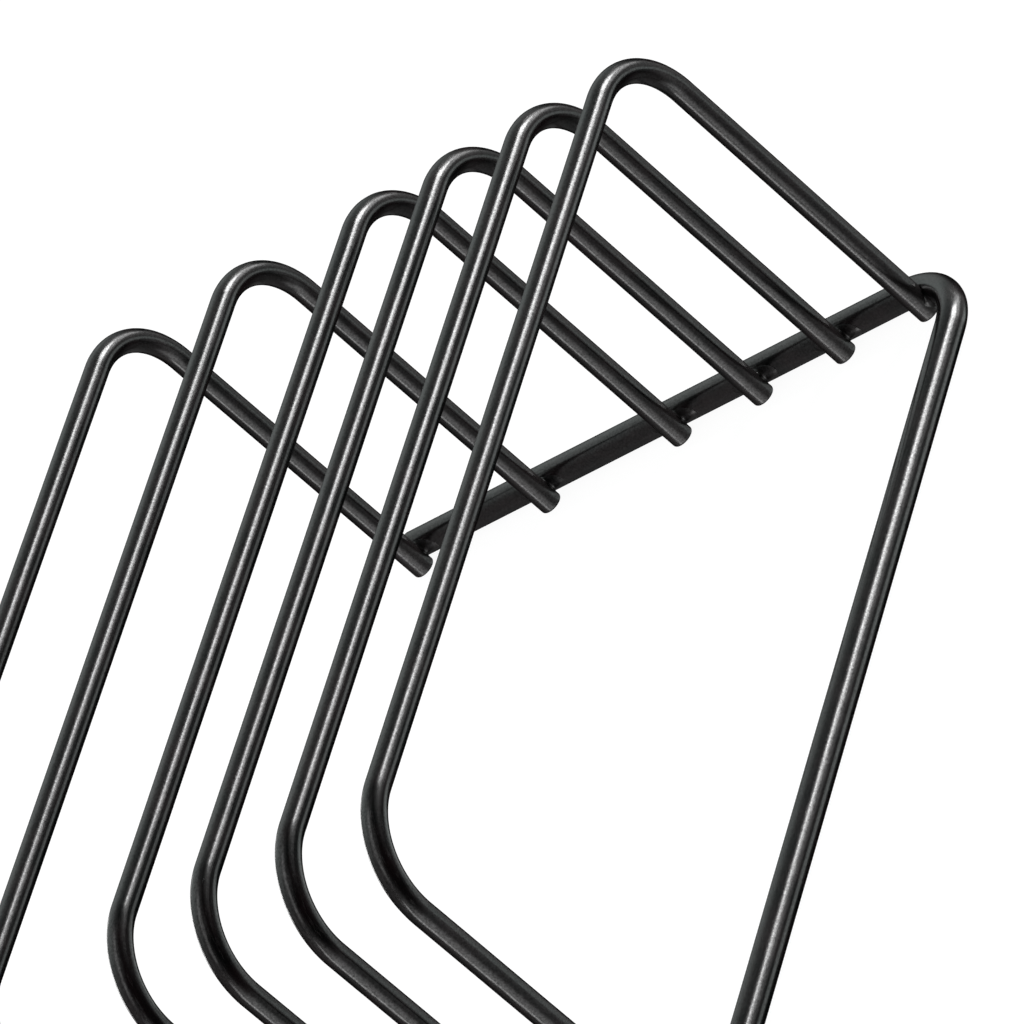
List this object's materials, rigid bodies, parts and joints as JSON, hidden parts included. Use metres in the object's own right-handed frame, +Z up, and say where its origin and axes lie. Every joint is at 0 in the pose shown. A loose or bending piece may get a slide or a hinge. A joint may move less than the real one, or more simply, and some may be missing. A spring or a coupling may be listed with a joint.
{
  "type": "toast rack",
  "caption": "Wire toast rack: inverted-U dividers welded inside a flat U-shaped base frame, with wide and narrow slots for slices.",
  "frame": {"origin": "middle of the rack's footprint, on the surface it stands on", "axes": "+Z up; +Y along the dividers' top bars; +X along the rails towards the end bar that closes the base frame"},
  "size_m": [0.1286, 0.1808, 0.0723],
  "materials": {
    "frame_wire": "satin black coating on steel wire",
    "divider_wire": "satin black coating on steel wire",
    "weld_bead": "uneven satin black coating over weld metal"
  },
  "bodies": {
    "root": {"base_frame": "frame_wire", "loop_1": "divider_wire", "loop_2": "divider_wire", "loop_3": "divider_wire", "loop_4": "divider_wire", "loop_5": "divider_wire", "loop_6": "divider_wire", "weld_1_left": "weld_bead", "weld_1_right": "weld_bead", "weld_2_left": "weld_bead", "weld_2_right": "weld_bead", "weld_3_left": "weld_bead", "weld_3_right": "weld_bead", "weld_4_left": "weld_bead", "weld_4_right": "weld_bead", "weld_5_left": "weld_bead", "weld_5_right": "weld_bead", "weld_6_left": "weld_bead", "weld_6_right": "weld_bead"}
  },
  "joints": []
}
